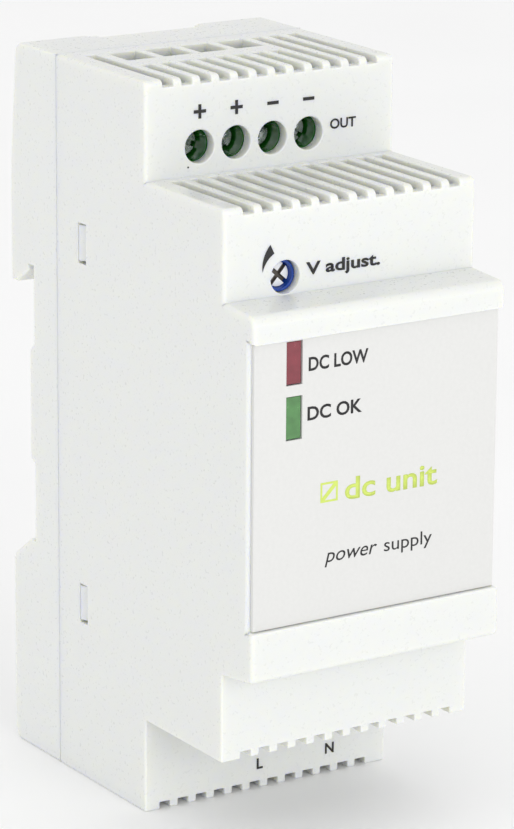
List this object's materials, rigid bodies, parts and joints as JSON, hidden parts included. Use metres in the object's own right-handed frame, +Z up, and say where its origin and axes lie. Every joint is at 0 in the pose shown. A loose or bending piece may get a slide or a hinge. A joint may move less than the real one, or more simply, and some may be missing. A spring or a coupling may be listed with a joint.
{
  "type": "din rail power supply",
  "caption": "Stepped light grey case that clips to a top-hat rail and turns mains into low voltage, with vent slots, screw terminals, indicator lamps, a trimmer and a sprung latch foot.",
  "frame": {"origin": "centre of the face that rests on the front of the rail's flanges, midway across the device and level with the rail's centreline", "axes": "+X across the device to the viewer's right, +Y back towards the rail and panel, +Z up, terminals for the output at the top"},
  "size_m": [0.035, 0.0556, 0.09],
  "materials": {
    "case_grey": "smooth moulded, satin",
    "base_grey": "smooth moulded, satin",
    "latch_grey": "smooth moulded, satin",
    "label_white": "fine matt film",
    "lens_red": "diffused red lens, unlit",
    "lens_green": "diffused green lens, unlit",
    "trimmer_blue": "glossy moulded",
    "trimmer_white": "glossy moulded",
    "block_green": "semi-gloss moulded",
    "tinned_copper": "tin plated",
    "zinc_screw": "zinc plated",
    "cage_steel": "nickel plated",
    "spring_steel": "drawn wire",
    "board_laminate": "green solder resist",
    "fuse_brown": "moulded",
    "disc_blue": "dipped epoxy",
    "disc_dark": "dipped resin",
    "film_yellow": "moulded",
    "ferrite": "pressed and ground",
    "copper_wire": "enamelled copper",
    "package_black": "moulded epoxy",
    "can_sleeve": "shrunk sleeve",
    "sink_aluminium": "pressed sheet",
    "bobbin_black": "moulded",
    "winding_tape": "polyester tape"
  },
  "bodies": {
    "case": {"front_housing": "case_grey", "rear_base": "base_grey", "label_plate": "label_white", "led_red": "lens_red", "led_green": "lens_green", "trimmer_body": "trimmer_blue", "output_terminal_block": "block_green", "input_terminal_block": "block_green", "output_contacts": "tinned_copper", "input_contacts": "tinned_copper", "board_screws": "zinc_screw", "latch_spring": "spring_steel", "main_board": "board_laminate", "front_board": "board_laminate", "riser_board": "board_laminate", "fuse": "fuse_brown", "surge_varistor": "disc_blue", "y_capacitor": "disc_blue", "inrush_thermistor": "disc_dark", "x_capacitor": "film_yellow", "line_choke_core": "ferrite", "transformer_core": "ferrite", "line_choke_winding": "copper_wire", "output_inductor": "copper_wire", "bridge_rectifier": "package_black", "switching_transistor": "package_black", "control_chip": "package_black", "optocoupler": "package_black", "output_rectifier": "package_black", "bulk_capacitor": "can_sleeve", "auxiliary_capacitor": "can_sleeve", "output_capacitors": "can_sleeve", "transistor_heat_sink": "sink_aluminium", "rectifier_heat_sink": "sink_aluminium", "transformer_bobbin": "bobbin_black", "transformer_winding": "winding_tape"},
    "latch": {"din_latch": "latch_grey"},
    "trimmer": {"trimmer_rotor": "trimmer_white"},
    "screw_out_1": {"output_screw_1": "zinc_screw"},
    "cage_out_1": {"output_cage_1": "cage_steel"},
    "screw_out_2": {"output_screw_2": "zinc_screw"},
    "cage_out_2": {"output_cage_2": "cage_steel"},
    "screw_out_3": {"output_screw_3": "zinc_screw"},
    "cage_out_3": {"output_cage_3": "cage_steel"},
    "screw_out_4": {"output_screw_4": "zinc_screw"},
    "cage_out_4": {"output_cage_4": "cage_steel"},
    "screw_in_l": {"input_screw_l": "zinc_screw"},
    "cage_in_l": {"input_cage_l": "cage_steel"},
    "screw_in_n": {"input_screw_n": "zinc_screw"},
    "cage_in_n": {"input_cage_n": "cage_steel"}
  },
  "joints": [
    {"name": "latch_slide", "type": "slide", "parent": "case", "child": "latch", "axis": [0, 0, -1], "range_m": [0, 0.003], "stiffness_N_per_m": 1200, "springref_m": -0.002, "deforming": ["latch_spring"]},
    {"name": "trimmer_turn", "type": "hinge", "parent": "case", "child": "trimmer", "pos_m": [-0.00915, -0.0416, 0.0244], "axis": [0, 1, 0], "range_deg": [-130, 130]},
    {"name": "lift_out_1", "type": "slide", "parent": "case", "child": "cage_out_1", "axis": [0, -1, 0], "range_m": [0, 0.0036]},
    {"name": "turn_out_1", "type": "hinge", "parent": "case", "child": "screw_out_1", "pos_m": [-0.01, -0.0209, 0.0366], "axis": [0, 1, 0], "range_deg": [0, 2600]},
    {"name": "lift_out_2", "type": "slide", "parent": "case", "child": "cage_out_2", "axis": [0, -1, 0], "range_m": [0, 0.0036]},
    {"name": "turn_out_2", "type": "hinge", "parent": "case", "child": "screw_out_2", "pos_m": [-0.00492, -0.0209, 0.0366], "axis": [0, 1, 0], "range_deg": [0, 2600]},
    {"name": "lift_out_3", "type": "slide", "parent": "case", "child": "cage_out_3", "axis": [0, -1, 0], "range_m": [0, 0.0036]},
    {"name": "turn_out_3", "type": "hinge", "parent": "case", "child": "screw_out_3", "pos_m": [0.00016, -0.0209, 0.0366], "axis": [0, 1, 0], "range_deg": [0, 2600]},
    {"name": "lift_out_4", "type": "slide", "parent": "case", "child": "cage_out_4", "axis": [0, -1, 0], "range_m": [0, 0.0036]},
    {"name": "turn_out_4", "type": "hinge", "parent": "case", "child": "screw_out_4", "pos_m": [0.00524, -0.0209, 0.0366], "axis": [0, 1, 0], "range_deg": [0, 2600]},
    {"name": "lift_in_l", "type": "slide", "parent": "case", "child": "cage_in_l", "axis": [0, -1, 0], "range_m": [0, 0.0036]},
    {"name": "turn_in_l", "type": "hinge", "parent": "case", "child": "screw_in_l", "pos_m": [-0.001, -0.0209, -0.0366], "axis": [0, 1, 0], "range_deg": [0, 2600]},
    {"name": "lift_in_n", "type": "slide", "parent": "case", "child": "cage_in_n", "axis": [0, -1, 0], "range_m": [0, 0.0036]},
    {"name": "turn_in_n", "type": "hinge", "parent": "case", "child": "screw_in_n", "pos_m": [0.00916, -0.0209, -0.0366], "axis": [0, 1, 0], "range_deg": [0, 2600]}
  ],
  "couplings": [
    {"joint": "turn_out_1", "follows": "lift_out_1", "rad_per_m": 12566},
    {"joint": "turn_out_2", "follows": "lift_out_2", "rad_per_m": 12566},
    {"joint": "turn_out_3", "follows": "lift_out_3", "rad_per_m": 12566},
    {"joint": "turn_out_4", "follows": "lift_out_4", "rad_per_m": 12566},
    {"joint": "turn_in_l", "follows": "lift_in_l", "rad_per_m": 12566},
    {"joint": "turn_in_n", "follows": "lift_in_n", "rad_per_m": 12566}
  ]
}
